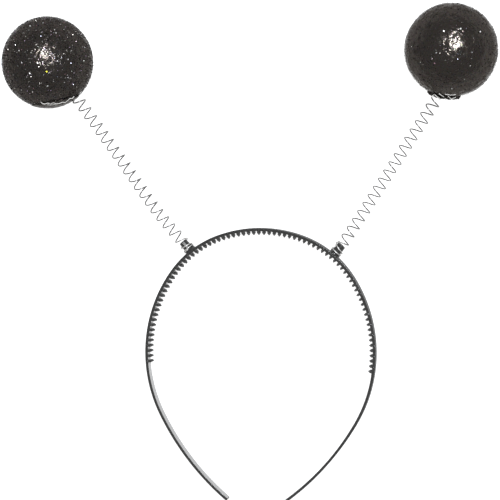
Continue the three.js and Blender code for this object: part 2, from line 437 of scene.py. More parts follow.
def join_solid(base, other):
    """Joins another solid object into a base object, so that no face is left inside."""
    join = base.modifiers.new("join", "BOOLEAN")
    join.operation = "UNION"
    join.solver = "EXACT"
    join.object = other
    whole = base.evaluated_get(bpy.context.evaluated_depsgraph_get())
    mesh = bpy.data.meshes.new_from_object(whole)
    base.modifiers.remove(join)
    base.data = mesh
    bpy.data.objects.remove(other)


def add_node(tree, kind, inputs=None, **settings):
    """Adds a shader node with its settings, and sets or links its inputs."""
    made = tree.nodes.new(f"ShaderNode{kind}")
    for name, value in settings.items():
        setattr(made, name, value)
    for name, value in (inputs or {}).items():
        if isinstance(value, bpy.types.NodeSocket):
            tree.links.new(value, made.inputs[name])
        else:
            made.inputs[name].default_value = value
    return made


def new_material(name):
    """An empty node material, and the Object coordinates that its patterns read."""
    material = bpy.data.materials.new(name)
    material.use_nodes = True
    tree = material.node_tree
    tree.nodes.clear()
    return material, tree, add_node(tree, "TexCoord").outputs["Object"]


def with_surface(material, tree, surface):
    """Puts a shader on the material's surface."""
    add_node(tree, "OutputMaterial", {"Surface": surface})
    return material


def per(size):
    """Texture scale of a pattern whose features are this size."""
    return 1.0 / size


def opaque(colour, shares=1.0):
    """Opaque colour, with its channels multiplied by one share or by a share each."""
    return (*np.multiply(colour, shares).tolist(), 1.0)


# Moulded polystyrene: black body colour that mirrors the room softly, with broad faint ripples from
# the melt and duller patches from handling. The side faces are satin. The outer side and the teeth
# come from a spark-eroded mould, so they stay dark grey when they are seen edge on. The inner side is
# polished and has a clear skin, so it turns pale there.
def moulded_polystyrene(colour, finish):
    material, tree, place = new_material(f"moulded_polystyrene_{finish.name}")
    polish = finish.roughness
    ripple = add_node(tree, "TexNoise", {"Vector": place, "Scale": per(7 * MM), "Detail": 2.0})
    scuff = add_node(tree, "TexNoise", {"Vector": place, "Scale": per(1.1 * MM), "Detail": 4.0})
    dust = tuple(min(1.0, channel * 1.7 + 0.003) for channel in colour)
    tone = add_node(tree, "Mix", {
        MIX_SHARE: ripple.outputs["Fac"], MIX_FIRST: opaque(colour), MIX_SECOND: opaque(dust),
    }, data_type="RGBA")
    dull = add_node(tree, "MapRange", {
        "Value": scuff.outputs["Fac"], "From Min": 0.35, "From Max": 0.7,
        "To Min": polish, "To Max": polish + 0.14,
    })
    wave = add_node(tree, "Bump", {
        "Height": ripple.outputs["Fac"], "Strength": 0.2, "Distance": 0.1 * MM,
    })
    grain = add_node(tree, "Bump", {
        "Height": scuff.outputs["Fac"], "Strength": 0.1, "Distance": 0.03 * MM,
        "Normal": wave.outputs["Normal"],
    })
    skin = add_node(tree, "BsdfPrincipled", {
        "Base Color": tone.outputs[MIX_COLOUR], "Roughness": dull.outputs["Result"], "IOR": 1.59,
        "Specular IOR Level": finish.shine, "Coat Weight": finish.skin, "Coat Roughness": polish,
        "Coat IOR": 1.6, "Normal": grain.outputs["Normal"],
    })
    return with_surface(material, tree, skin.outputs["BSDF"])


# Drawn spring steel: bare wire under a dark film of oil, so it stays grey against pale ground. The
# turns over the peg get a painted highlight: a paler steel colour, with a rougher polish, that stands in
# for their shine.
def drawn_spring_steel(colour, highlight_painted_colour):
    material, tree, place = new_material("drawn_spring_steel")
    film = add_node(tree, "TexNoise", {"Vector": place, "Scale": per(1.5 * MM), "Detail": 3.0})
    rubbed = add_node(tree, "Attribute", attribute_name="rubbed")
    oiled = add_node(tree, "Mix", {
        MIX_SHARE: film.outputs["Fac"], MIX_FIRST: opaque(colour, 0.72), MIX_SECOND: opaque(colour),
    }, data_type="RGBA")
    # Painted highlight: the turns over the peg take a pale steel colour in place of their shine
    tone = add_node(tree, "Mix", {
        MIX_SHARE: rubbed.outputs["Fac"], MIX_FIRST: oiled.outputs[MIX_COLOUR],
        MIX_SECOND: opaque(highlight_painted_colour),
    }, data_type="RGBA")
    polish = add_node(tree, "MapRange", {
        "Value": rubbed.outputs["Fac"], "To Min": 0.28, "To Max": 0.5,
    })
    wire = add_node(tree, "BsdfPrincipled", {
        "Base Color": tone.outputs[MIX_COLOUR], "Metallic": 1.0, "Roughness": polish.outputs["Result"],
    })
    return with_surface(material, tree, wire.outputs["BSDF"])


# Black glitter bedded in craft glue: dark metal film, so it mirrors little and stays dark to its edge.
# The glue dried in lumps that break the light into bright patches, and single flakes that lie askew
# sparkle around them, each a touch browner, greener or more violet than the next. The cells are drawn
# coarser than real flakes, so that they show.
def bedded_glitter(name, colour, lump_width, gleam, gleam_place, sparkle):
    material, tree, place = new_material(name)
    cells = add_node(tree, "TexVoronoi", {"Vector": place, "Scale": per(0.55 * MM)})
    cloud = add_node(tree, "TexNoise", {"Vector": place, "Scale": per(6 * MM), "Detail": 2.0})
    lumps = add_node(tree, "TexNoise", {
        "Vector": place, "W": gleam_place, "Scale": per(lump_width), "Detail": 1.5, "Distortion": 0.6,
    }, noise_dimensions="4D")
    green = opaque(colour, (1.0, 1.02, 0.95))
    violet = opaque(colour, (1.06, 0.97, 1.03))
    tone = add_node(tree, "Mix", {
        MIX_SHARE: cloud.outputs["Fac"], MIX_FIRST: green, MIX_SECOND: violet,
    }, data_type="RGBA")
    speck = add_node(tree, "Mix", {
        MIX_SHARE: 0.2, MIX_FIRST: tone.outputs[MIX_COLOUR], MIX_SECOND: cells.outputs["Color"],
    }, data_type="RGBA", blend_type="MULTIPLY")
    swell = add_node(tree, "Bump", {
        "Height": lumps.outputs["Fac"], "Strength": 1.0, "Distance": gleam,
    })
    chance = add_node(tree, "SeparateColor", {"Color": cells.outputs["Color"]})
    askew = add_node(tree, "MapRange", {
        "Value": chance.outputs["Red"], "From Min": 0.6, "From Max": 0.62, "To Max": sparkle,
    })
    centred = add_node(tree, "VectorMath", {
        0: cells.outputs["Color"], 1: (0.8, 0.5, 0.5),
    }, operation="SUBTRACT")
    tip = add_node(tree, "VectorMath", {
        0: centred.outputs["Vector"], "Scale": askew.outputs["Result"],
    }, operation="SCALE")
    tipped = add_node(tree, "VectorMath", {
        0: swell.outputs["Normal"], 1: tip.outputs["Vector"],
    }, operation="ADD")
    facing = add_node(tree, "VectorMath", {0: tipped.outputs["Vector"]}, operation="NORMALIZE")
    gloss = add_node(tree, "MapRange", {
        "Value": lumps.outputs["Fac"], "From Min": 0.35, "From Max": 0.65, "To Min": 0.18, "To Max": 0.3,
    })
    coat = add_node(tree, "BsdfPrincipled", {
        "Base Color": speck.outputs[MIX_COLOUR], "Metallic": 1.0, "Roughness": gloss.outputs["Result"],
        "Specular Tint": (0.6, 0.59, 0.58, 1.0), "Normal": facing.outputs["Vector"],
    })
    return with_surface(material, tree, coat.outputs["BSDF"])


# Cut polyester glitter: thin film flakes with a metal layer, so each one flashes like a mirror when
# it faces the light and is dark otherwise. Its tint is its own, and its edge stays dark.
def cut_glitter():
    material, tree, place = new_material("cut_polyester_glitter")
    tint = add_node(tree, "Attribute", attribute_name="flake_tint")
    smear = add_node(tree, "TexNoise", {"Vector": place, "Scale": per(0.8 * MM), "Detail": 1.0})
    film = add_node(tree, "MapRange", {
        "Value": smear.outputs["Fac"], "From Min": 0.3, "From Max": 0.7, "To Min": 0.18, "To Max": 0.32,
    })
    flake = add_node(tree, "BsdfPrincipled", {
        "Base Color": tint.outputs["Color"], "Metallic": 1.0, "Roughness": film.outputs["Result"],
        "Specular Tint": (0.3, 0.29, 0.28, 1.0),
    })
    return with_surface(material, tree, flake.outputs["BSDF"])


# Hot melt glue, drawn out into strings: pale, with milky streaks and a soft gloss. The pale colour is
# partly a painted highlight, standing in for the shine along the glue's upper edge.
def drawn_glue_highlight(colour):
    material, tree, place = new_material("hot_melt_glue_painted_highlight")
    streaks = add_node(tree, "TexNoise", {
        "Vector": place, "Scale": per(1.0 * MM), "Detail": 3.0, "Distortion": 1.2,
    })
    tone = add_node(tree, "Mix", {
        MIX_SHARE: streaks.outputs["Fac"], MIX_FIRST: opaque(colour, 0.45), MIX_SECOND: opaque(colour),
    }, data_type="RGBA")
    glue = add_node(tree, "BsdfPrincipled", {
        "Base Color": tone.outputs[MIX_COLOUR], "Roughness": 0.3, "IOR": 1.48,
    })
    return with_surface(material, tree, glue.outputs["BSDF"])


# Opal acrylic light table: a matt white sheet lit evenly from beneath, so it is white in shade too
def opal_light_table(colour, glow):
    material, tree, place = new_material("opal_acrylic_light_table")
    haze = add_node(tree, "TexNoise", {"Vector": place, "Scale": per(40 * MM), "Detail": 2.0})
    tone = add_node(tree, "Mix", {
        MIX_SHARE: haze.outputs["Fac"], MIX_FIRST: opaque(colour, 0.97), MIX_SECOND: opaque(colour),
    }, data_type="RGBA")
    sheet = add_node(tree, "BsdfPrincipled", {
        "Base Color": tone.outputs[MIX_COLOUR], "Roughness": 0.9, "Specular IOR Level": 0.0,
        "Emission Color": (1.0, 1.0, 1.0, 1.0), "Emission Strength": glow,
    })
    return with_surface(material, tree, sheet.outputs["BSDF"])


# Headband

def toothed_strip(band):
    """The band before it is bent: x along its outer outline, y inwards and z across its depth."""
    cell = band.tooth_pitch / 2
    toothed = (2 * band.tooth_count - 1) * cell
    bm = bmesh.new()
    bmesh.ops.create_cube(bm, size=1.0)
    bmesh.ops.scale(bm, vec=(toothed, band.thickness, BAND_DEPTH), verts=bm.verts)
    bmesh.ops.translate(bm, vec=(0.0, band.thickness / 2, BAND_DEPTH / 2), verts=bm.verts)
    along = [edge for edge in bm.edges if edge.calc_length() > toothed / 2]
    bmesh.ops.subdivide_edges(bm, edges=along, cuts=2 * band.tooth_count - 2, use_grid_fill=True)
    narrow = (cell - band.tooth_neck) / 2
    for vert in bm.verts:
        order = round((vert.co.x + toothed / 2) / cell)
        vert.co.x += narrow if order % 2 == 0 else -narrow
    add_legs(bm, band, toothed)
    add_teeth(bm, band, toothed, cell)
    return bm


def add_legs(bm, band, toothed):
    """Draws the plain legs out of both ends of the toothed stretch, with round tips."""
    reach = BAND_HALF_LENGTH + band.thickness / 2 - toothed / 2
    for side in (-1, 1):
        bm.normal_update()
        end = max(bm.faces, key=lambda face: side * face.normal.x)
        for _ in range(band.leg_steps):
            end = bmesh.ops.extrude_discrete_faces(bm, faces=[end])["faces"][0]
            bmesh.ops.translate(bm, vec=(side * reach / band.leg_steps, 0.0, 0.0), verts=end.verts)
        corners = [edge for edge in end.edges if is_upright(edge)]
        round_off(bm, corners, band.thickness / 2 - LEG_TIP_SPARE, LEG_TIP_STEPS)


def add_teeth(bm, band, toothed, cell):
    """Pulls every second cell of the inner side out into a tooth: a neck, a wide belly and a point."""
    bm.normal_update()
    faces = []
    for face in bm.faces:
        along = face.calc_center_median().x
        if face.normal.y > SQUARE and abs(along) < toothed / 2:
            if round((along + toothed / 2) / cell - 0.5) % 2 == 0:
                faces.append(face)
    width, across, middle, out = band.tooth_neck, BAND_DEPTH, BAND_DEPTH / 2, 0.0
    rings = []
    for ring in TOOTH_RINGS:
        faces = bmesh.ops.extrude_discrete_faces(bm, faces=faces)["faces"]
        step = (0.0, (ring.out - out) * band.tooth_length, ring.middle - middle)
        for face in faces:
            centre = Matrix.Translation(-face.calc_center_median())
            bmesh.ops.scale(bm, vec=(ring.width / width, 1.0, ring.across / across), space=centre,
                            verts=face.verts)
            bmesh.ops.translate(bm, vec=step, verts=face.verts)
        rings.append([edge for face in faces for edge in face.edges])
        width, across, middle, out = ring.width, ring.across, ring.middle, ring.out
    belly, tip = rings
    hollow = [edge for edge in bm.edges if is_upright(edge) and at_depth(edge, band.thickness)
              and abs(edge.verts[0].co.x) < toothed / 2 + WELD]
    round_off(bm, belly, band.tooth_belly)
    round_off(bm, [edge for edge in tip if edge.is_valid and is_upright(edge)], width * TOOTH_POINT)
    round_off(bm, [edge for edge in hollow if edge.is_valid], band.tooth_hollow)


def is_upright(edge):
    step = edge.verts[0].co - edge.verts[1].co
    return abs(step.z) > abs(step.x) + abs(step.y)


def at_depth(edge, depth):
    return all(abs(vert.co.y - depth) < WELD for vert in edge.verts)


def round_off(bm, edges, radius, segments=EDGE_STEPS):
    bmesh.ops.bevel(bm, geom=edges, offset=radius, segments=segments, profile=ROUND, affect="EDGES",
                    material=KEEP_MATERIAL, clamp_overlap=False)


def bent_band(band):
    """The toothed strip with its rims rounded, bent to the outline of the headband."""
    bm = toothed_strip(band)
    bm.normal_update()
    rims = [edge for edge in bm.edges if edge.is_manifold and is_rim(edge)]
    round_off(bm, rims, band.rim_round)
    bm.normal_update()
    for face in bm.faces:
        on_tooth = face.calc_center_median().y > band.thickness + band.tooth_hollow
        if abs(face.normal.z) > FLAT:
            face.material_index = SATIN
        elif face.normal.y > FLAT and not on_tooth:
            face.material_index = POLISHED
        else:
            face.material_index = ERODED
    for vert in bm.verts:
        place = band_point(vert.co.x, vert.co.y)
        vert.co = Vector((place.x, place.y, CROWN.z + vert.co.z))
    bmesh.ops.remove_doubles(bm, verts=bm.verts, dist=WELD)
    bmesh.ops.recalc_face_normals(bm, faces=bm.faces)
    return bm


def is_rim(edge):
    flat = [abs(face.normal.z) > FLAT for face in edge.link_faces]
    return flat[0] != flat[1]


def spun(profile, steps):
    """A solid spun about z from the radii and heights of its half profile."""
    bm = bmesh.new()
    verts = [bm.verts.new((radius, 0.0, height)) for radius, height in profile]
    edges = [bm.edges.new(pair) for pair in zip(verts, verts[1:])]
    bmesh.ops.spin(bm, geom=verts + edges, cent=(0.0, 0.0, 0.0), axis=UP, angle=FULL_TURN,
                   steps=steps, use_merge=True)
    bmesh.ops.remove_doubles(bm, verts=bm.verts, dist=WELD)
    bmesh.ops.recalc_face_normals(bm, faces=bm.faces)
    return bm


def stood_at(place, direction):
    """Moves the origin to a place, and turns z to a direction."""
    return Matrix.Translation(place) @ UP.rotation_difference(direction).to_matrix().to_4x4()


def peg(name):
    """One peg, spun from its profile and stood on the band."""
    bm = spun([(row.radius, row.height) for row in PEG_PROFILE], PEG_STEPS)
    corners = [edge for edge in bm.edges if edge.calc_face_angle(0.0) > PEG_CORNER]
    round_off(bm, corners, PEG_ROUND, PEG_ROUND_STEPS)
    bmesh.ops.transform(bm, matrix=stood_at(*peg_seat(name)), verts=bm.verts)
    return bm


# Springs

def straight_wire(name, spring):
    """The wire of a spring before it is bent: its axis along z, x up from the floor and y across."""
    row = BOPPERS[name]
    bm = bmesh.new()
    ring = bmesh.ops.create_circle(bm, radius=spring.wire_radius, segments=spring.wire_sides)["verts"]
    bmesh.ops.translate(bm, vec=(TAIL_REACH, 0.0, row.tail_top), verts=ring)
    last = list({edge for vert in ring for edge in vert.link_edges})
    drop = TAIL_FOOT + TAIL_BEND - row.tail_top
    drawn = bmesh.ops.extrude_edge_only(bm, edges=last)["geom"]
    bmesh.ops.translate(bm, vec=(0.0, 0.0, drop), verts=of_kind(drawn, bmesh.types.BMVert))
    out = math.sqrt(spring.coil_radius ** 2 - TAIL_BEND ** 2) - TAIL_REACH
    drawn = bmesh.ops.spin(
        bm, geom=ring_of(drawn), cent=(TAIL_REACH, -TAIL_BEND, TAIL_FOOT + TAIL_BEND),
        axis=(-1.0, 0.0, 0.0), angle=math.pi / 2, steps=TAIL_BEND_STEPS,
        dvec=(out / TAIL_BEND_STEPS, 0.0, 0.0))["geom_last"]
    lead = row.tail_turns - math.asin(TAIL_BEND / spring.coil_radius) / FULL_TURN
    for stage in wire_stages(name, lead):
        steps = round(stage.turns * spring.steps_per_turn)
        rise = stage.turns * stage.pitch / steps
        drawn = bmesh.ops.spin(
            bm, geom=ring_of(drawn), cent=(0.0, 0.0, 0.0), axis=-UP, angle=FULL_TURN * stage.turns,
            steps=steps, dvec=(0.0, 0.0, rise))["geom_last"]
    bmesh.ops.rotate(bm, cent=(0.0, 0.0, 0.0), verts=bm.verts,
                     matrix=Matrix.Rotation(FULL_TURN * (row.tail_turns + 0.25), 3, "Z"))
    return bm


def wire_stages(name, lead):
    """Turns and pitch of each stretch of the coil, of which the last fills the way to the ball."""
    row = BOPPERS[name]
    _, lengths = axis_lengths(spring_axis(name))
    closed = FOOT_TURNS * row.foot_pitch + RISING_TURNS * row.rising_pitch
    return (
        Row(turns=lead, pitch=(SPRING_FOOT - TAIL_FOOT) / lead),
        Row(turns=FOOT_TURNS, pitch=row.foot_pitch),
        Row(turns=RISING_TURNS, pitch=row.rising_pitch),
        Row(turns=(lengths[-1] - SPRING_FOOT - closed) / row.open_pitch, pitch=row.open_pitch),
    )


def of_kind(items, kind):
    return [item for item in items if isinstance(item, kind)]


def ring_of(items):
    """The open ring of edges at the end of a wire."""
    return of_kind(items, bmesh.types.BMVert) + of_kind(items, bmesh.types.BMEdge)


def bent_wire(name, spring):
    """A spring's wire, bent along its middle line and closed at its cut ends."""
    bm = straight_wire(name, spring)
    handles = spring_axis(name)
    shares, lengths = axis_lengths(handles)
    straight = np.array([vert.co for vert in bm.verts])
    lean = BOPPERS[name].turn_lean * np.sin(np.pi * straight[:, 2] / lengths[-1])
    middle, ahead = on_axis(handles, np.interp(straight[:, 2] + lean * straight[:, 0], lengths, shares))
    across = unit_rows(np.cross(ahead, np.array(UP)))
    above = np.cross(across, ahead)
    bent = middle + above * straight[:, :1] + across * straight[:, 1:2]
    # Painted highlight: marks the turns near the peg for the paler steel colour
    rubbed = bm.verts.layers.float.new("rubbed")
    bright = np.clip((HIGHLIGHT_PAINTED_TO + HIGHLIGHT_PAINTED_FADE - straight[:, 2]) / HIGHLIGHT_PAINTED_FADE, 0.0, 1.0)
    for vert, place, share in zip(bm.verts, bent, bright):
        vert.co = place
        vert[rubbed] = share
    ends = [edge for edge in bm.edges if edge.is_boundary]
    bmesh.ops.holes_fill(bm, edges=ends, sides=spring.wire_sides)
    bmesh.ops.recalc_face_normals(bm, faces=bm.faces)
    return bm


# Balls

def coated_ball(name, ball):
    """A foam ball under its lumpy coat, with a dimple where the spring goes in."""
    row = BOPPERS[name]
    centre, radius = ball_seat(name)
    entry, _ = spring_entry(name)
    bm = bmesh.new()
    bmesh.ops.create_icosphere(bm, subdivisions=ball.fineness, radius=radius)
    shift = Vector((row.seed, 0.0, 0.0))
    for vert in bm.verts:
        direction = vert.co.normalized()
        lump = noise.noise(direction * (radius / row.lump_width) + shift) * row.lump
        swell = noise.noise(direction * (radius / ball.swell_width) + shift) * ball.swell
        near = ((direction * radius + centre - entry).length / DIMPLE_WIDTH) ** 2
        dimple = DIMPLE_DEPTH * math.exp(-near * near)
        vert.co = centre + direction * (radius - ball.coat + lump + swell - dimple)
        vert.co.z = max(vert.co.z, 0.0)
    return bm


def scattered_flakes(name, ball):
    """Middles, facings, sizes and tints of the flakes on one ball, most of them lying nearly flat."""
    row = BOPPERS[name]
    draw = np.random.default_rng(row.seed)
    count = row.flakes
    facing = unit_rows(draw.normal(size=(count, 3)))
    tip = np.where(draw.random(count) < row.loose, ball.loose_tip, ball.flat_tip)
    normal = unit_rows(facing + draw.normal(size=(count, 3)) * tip[:, None])
    size = draw.uniform(ball.flake_small, ball.flake_large, count)
    bright = draw.random(count) < row.bright
    tint = np.where(
        bright[:, None], some_tints(draw, BRIGHT_TINTS, count), some_tints(draw, DARK_TINTS, count))
    square = (view_of_ball(name) + key_direction(settings_of(bpy.context).stage)).normalized()
    for flake in LARGE_FLAKES[name]:
        facing = np.vstack([facing, seen_on_ball(name, flake.right, flake.up)])
        normal = np.vstack([normal, square])
        size = np.append(size, flake.size_mm * MM)
        tint = np.vstack([tint, linear(flake.hex)])
    return facing, normal, size, tint


def some_tints(draw, tints, count):
    return np.array([linear(tint) for tint in tints])[draw.integers(len(tints), size=count)]


def unit_rows(rows):
    return rows / np.linalg.norm(rows, axis=1)[:, None]


def flake_corners(name, ball):
    """Corners of every flake, the point under it and its tint, without those that would touch the
    ground."""
    facing, normal, size, tint = scattered_flakes(name, ball)
    centre, radius = ball_seat(name)
    draw = np.random.default_rng(BOPPERS[name].seed + 1)
    count = len(facing)
    side = unit_rows(np.cross(normal, draw.normal(size=(count, 3))))
    other = np.cross(normal, side)
    middle = np.array(centre) + facing * (radius - draw.uniform(0.0, ball.coat / 2, count))[:, None]
    cosine, sine = hexagon_corners()
    ring = cosine[None, :, None] * side[:, None] + sine[None, :, None] * other[:, None]
    corners = middle[:, None] + ring * size[:, None, None]
    under = middle - normal * FLAKE_DEPTH
    clear = corners[:, :, 2].min(axis=1) > FLAKE_CLEAR
    return np.concatenate([corners, under[:, None]], axis=1)[clear], tint[clear]


def hexagon_corners():
    """Cosine and sine of a flake's corners."""
    corner = np.arange(FLAKE_SIDES) * FULL_TURN / FLAKE_SIDES
    return np.cos(corner), np.sin(corner)


def map_flakes(mesh, count):
    """Gives each flake a cell of its own in a UV map named for baking its colour."""
    across = math.ceil(math.sqrt(count))
    order = np.arange(count)
    cells = np.stack([order % across, order // across], axis=1) + 0.5
    outline = np.vstack([np.stack(hexagon_corners(), axis=1) * FLAKE_CELL, np.zeros((1, 2))])
    places = ((cells[:, None] + outline) / across).reshape(-1, 2)
    points = np.empty(len(mesh.loops), np.int32)
    mesh.loops.foreach_get("vertex_index", points)
    layer = mesh.uv_layers.new(name=BAKE_MAP)
    layer.uv.foreach_set("vector", places[points].astype(np.float32).ravel())


def glitter(name, ball, material):
    """All the flakes of one ball as one joined mesh. Each one is a flat six-sided face over a point."""
    points, tints = flake_corners(name, ball)
    starts = np.arange(len(points))[:, None] * FLAKE_POINTS
    flats = (starts + np.arange(FLAKE_SIDES)).tolist()
    edges = []
    for corner in range(FLAKE_SIDES):
        edges += (starts + [(corner + 1) % FLAKE_SIDES, corner, FLAKE_SIDES]).tolist()
    mesh = bpy.data.meshes.new(f"glitter_{name}")
    mesh.from_pydata(points.reshape(-1, 3).tolist(), [], flats + edges)
    tint = mesh.color_attributes.new("flake_tint", "FLOAT_COLOR", "POINT")
    solid = np.hstack([tints, np.ones((len(tints), 1))])
    tint.data.foreach_set("color", np.repeat(solid, FLAKE_POINTS, axis=0).ravel().astype(np.float32))
    map_flakes(mesh, len(points))
    mesh.materials.append(material)
    piece = bpy.data.objects.new(f"glitter_{name}", mesh)
    bpy.context.scene.collection.objects.link(piece)
    return piece


# Glue

def glue_bead(name, glue):
    """A bead of set glue on a ball: spun from its profile, with a wavy edge and lumps on top."""
    row = BOPPERS[name]
    centre, radius = ball_seat(name)
    shift = Vector((0.0, 0.0, row.seed))
    profile = []
    for point in GLUE_PROFILE:
        angle = point.share * row.glue_spread
        reach = radius - point.depth + point.rise * row.glue_height
        profile.append((reach * math.sin(angle), reach * math.cos(angle)))
    bm = spun(profile, GLUE_STEPS)
    bmesh.ops.subdivide_edges(bm, edges=bm.edges, cuts=1, use_grid_fill=True)
    for vert in bm.verts:
        reach = vert.co.length
        flat = Vector((vert.co.x, vert.co.y, 0.0)).normalized()
        wander = noise.noise(flat * glue.tongues + shift)
        fray = noise.noise(flat * glue.tongues * GLUE_FRAY_OFTEN + shift)
        angle = vert.co.angle(UP) * (1 + row.glue_ragged * (wander + GLUE_FRAY * fray))
        if reach > radius:
            reach += noise.noise(vert.co / glue.lump_width + shift) * row.glue_lump
        vert.co = (flat * math.sin(angle) + UP * math.cos(angle)) * reach
    flat = math.cos(row.glue_drop)
    outward = Vector((
        math.sin(row.glue_turn) * flat, -math.cos(row.glue_turn) * flat, -math.sin(row.glue_drop),
    ))
    bmesh.ops.transform(bm, matrix=stood_at(centre, outward), verts=bm.verts)
    for string in HIGHLIGHT_GLUE_STRINGS[name]:
        add_highlight_string(bm, name, string)
    bmesh.ops.recalc_face_normals(bm, faces=bm.faces)
    return bm


def add_highlight_string(bm, name, string):
    """Lays a thin string of pale glue over places on a ball, as a painted highlight along the glue's
    edge.
    """
    centre, radius = ball_seat(name)
    right, up, ahead = ball_axes(name)
    marks = np.array(string.places)
    steps = np.linspace(0, len(marks) - 1, (len(marks) - 1) * STRING_STEPS + 1)
    path = []
    for step in steps:
        x, y = (np.interp(step, range(len(marks)), marks[:, column]) for column in (0, 1))
        depth = math.sqrt(max(STRING_EDGE ** 2, STRING_LIFT ** 2 - x ** 2 - y ** 2))
        path.append(centre + (right * x + up * y + ahead * depth) * radius)
    faces = []
    last = None
    for place, before, after in zip(path, path[:1] + path[:-1], path[1:] + path[-1:]):
        made = bmesh.ops.create_circle(bm, radius=string.radius, segments=STRING_SIDES,
                                       matrix=stood_at(place, after - before))
        ring = list({edge for vert in made["verts"] for edge in vert.link_edges})
        if last:
            faces += bmesh.ops.bridge_loops(bm, edges=last + ring)["faces"]
        else:
            first = ring
        last = ring
    for end in (first, last):
        faces += bmesh.ops.contextual_create(bm, geom=end)["faces"]
    for face in faces:
        face.material_index = PAINTED_HIGHLIGHT_GLUE


# Settings that a user would change

def a_length(name, description, default):
    return bpy.props.FloatProperty(name=name, description=description, default=default, unit="LENGTH")


def a_number(name, description, default, **kind):
    return bpy.props.FloatProperty(name=name, description=description, default=default, **kind)


def a_count(name, description, default, **limits):
    return bpy.props.IntProperty(name=name, description=description, default=default, **limits)


def a_colour(name, description, hex_colour):
    return bpy.props.FloatVectorProperty(
        name=name, description=description, default=linear(hex_colour), subtype="COLOR", size=3)


class HeadbandSettings(bpy.types.PropertyGroup):
    """Sizes and colour of the moulded headband."""

    thickness: a_length("Thickness", "Thickness of the band", 1.5 * MM)
    rim_round: a_length("Rim", "Rounding of the band's side edges", 0.14 * MM)
    tooth_count: a_count("Teeth", "Number of comb teeth", 77, min=3)
    tooth_pitch: a_length("Tooth pitch", "Spacing of the teeth along the outer outline", 2.98 * MM)
    tooth_length: a_length("Tooth length", "Length of a tooth", 2.35 * MM)
    tooth_neck: a_length("Tooth neck", "Width of a tooth where it stands on the band", 0.9 * MM)
    tooth_belly: a_length("Tooth belly", "Rounding of a tooth's widest part", 0.2 * MM)
    tooth_hollow: a_length("Tooth hollow", "Rounding between a tooth and the band", 0.45 * MM)
    leg_steps: a_count("Leg steps", "Steps along each plain leg", 40, min=4)
    colour: a_colour("Plastic", "Colour of the moulded plastic", "151514")


class SpringSettings(bpy.types.PropertyGroup):
    """Sizes and colours of the coil springs."""

    wire_radius: a_length("Wire radius", "Radius of the spring wire", 0.36 * MM)
    coil_radius: a_length("Coil radius", "Radius of the coil at the middle of the wire", 3.1 * MM)
    wire_sides: a_count("Wire sides", "Sides of the wire's section", 12, min=6)
    steps_per_turn: a_count("Steps", "Steps in each turn of the coil", 32, min=8)
    colour: a_colour("Steel", "Colour of the oiled steel", "6b6a69")
    # Painted highlight: paler colour of the turns over the peg, standing in for their shine
    highlight_painted_colour: a_colour("Highlight painted steel", "Colour of the turns that are rubbed bright", "b4b3b1")


class BallSettings(bpy.types.PropertyGroup):
    """Sizes and colour of the glitter balls."""

    fineness: a_count("Fineness", "Subdivisions of a ball's surface", 7, min=3, max=7)
    coat: a_length("Coat", "Depth of the bedded glitter under the outer flakes", 0.3 * MM)
    swell: a_length("Swell", "Height of the foam's broad unevenness", 0.2 * MM)
    swell_width: a_length("Swell width", "Width of the foam's broad unevenness", 9 * MM)
    flake_small: a_length("Smallest flake", "Radius of the smallest flakes", 0.12 * MM)
    flake_large: a_length("Largest flake", "Radius of the largest flakes", 0.3 * MM)
    flat_tip: a_number("Flat tip", "Spread of the slope of the flakes that lie flat", 0.18)
    loose_tip: a_number("Loose tip", "Spread of the slope of the flakes that stand out", 0.5)
    colour: a_colour("Coat colour", "Colour of the bedded glitter", "3a3734")


class GlueSettings(bpy.types.PropertyGroup):
    """Sizes and colours of the glue at the springs' ends."""

    tongues: a_number("Tongues", "How often the bead's edge wanders in and out", 2.4)
    lump_width: a_length("Lump width", "Width of the lumps", 1.6 * MM)
    colour: a_colour("Glue", "Colour of the glue with glitter in it", "2e2c2a")
    # Painted highlight: pale colour of the glue strings along the glue's edge
    highlight_glue_colour: a_colour("Highlight glue", "Colour of the drawn-out strings of glue", "d9d7d2")


class StageSettings(bpy.types.PropertyGroup):
    """Light and ground of the stage."""

    ground_colour: a_colour("Ground", "Colour of the light table's sheet", "7f7f7f")
    ground_glow: a_number("Glow", "Brightness of the light table", 1.0)
    ground_width: a_length("Ground width", "Width of the light table", 8.0)
    sky: a_number("Sky", "Brightness of the studio's white walls", 0.8)
    key: a_number("Key", "Strength of the key light", 4.8)
    key_colour: a_colour("Key colour", "Colour of the key light, that of a flash lamp", "f6faff")
    key_width: a_number("Key width", "Angle that the key light fills", radians(13), subtype="ANGLE")
    key_right: a_number("Key right", "Share of the key's direction towards the image's right", 0.05)
    key_up: a_number("Key up", "Share of the key's direction towards the image's top", 0.24)


class BopperSettings(bpy.types.PropertyGroup):
    """All the settings of the head bopper."""

    headband: bpy.props.PointerProperty(type=HeadbandSettings, name="Headband")
    spring: bpy.props.PointerProperty(type=SpringSettings, name="Springs")
    ball: bpy.props.PointerProperty(type=BallSettings, name="Balls")
    glue: bpy.props.PointerProperty(type=GlueSettings, name="Glue")
    stage: bpy.props.PointerProperty(type=StageSettings, name="Stage")


class BOPPER_OT_headband(bpy.types.Operator):
    """Models the toothed headband with its two pegs"""

    bl_idname = "bopper.headband"
    bl_label = "Headband"

    def execute(self, context):
        band = settings_of(context).headband
        plastics = [moulded_polystyrene(band.colour, finish) for finish in FINISHES]
        piece = finished_piece(bent_band(band), "headband_moulding", plastics)
        for name in BOPPERS:
            join_solid(piece, finished_piece(peg(name), "peg", plastics[:1]))
        piece.data.shade_smooth()
        piece.modifiers.new("even_shading", "WEIGHTED_NORMAL")
        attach(piece, "band")
        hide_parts("headband")
        return {"FINISHED"}


class BOPPER_OT_springs(bpy.types.Operator):
    """Winds both coil springs and bends them to their balls"""

    bl_idname = "bopper.springs"
    bl_label = "Springs"

    def execute(self, context):
        spring = settings_of(context).spring
        steel = drawn_spring_steel(spring.colour, spring.highlight_painted_colour)
        for name in BOPPERS:
            piece = finished_piece(bent_wire(name, spring), f"spring_{name}_wire", [steel])
            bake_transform(piece)
            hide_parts(f"spring_{name}")
        return {"FINISHED"}


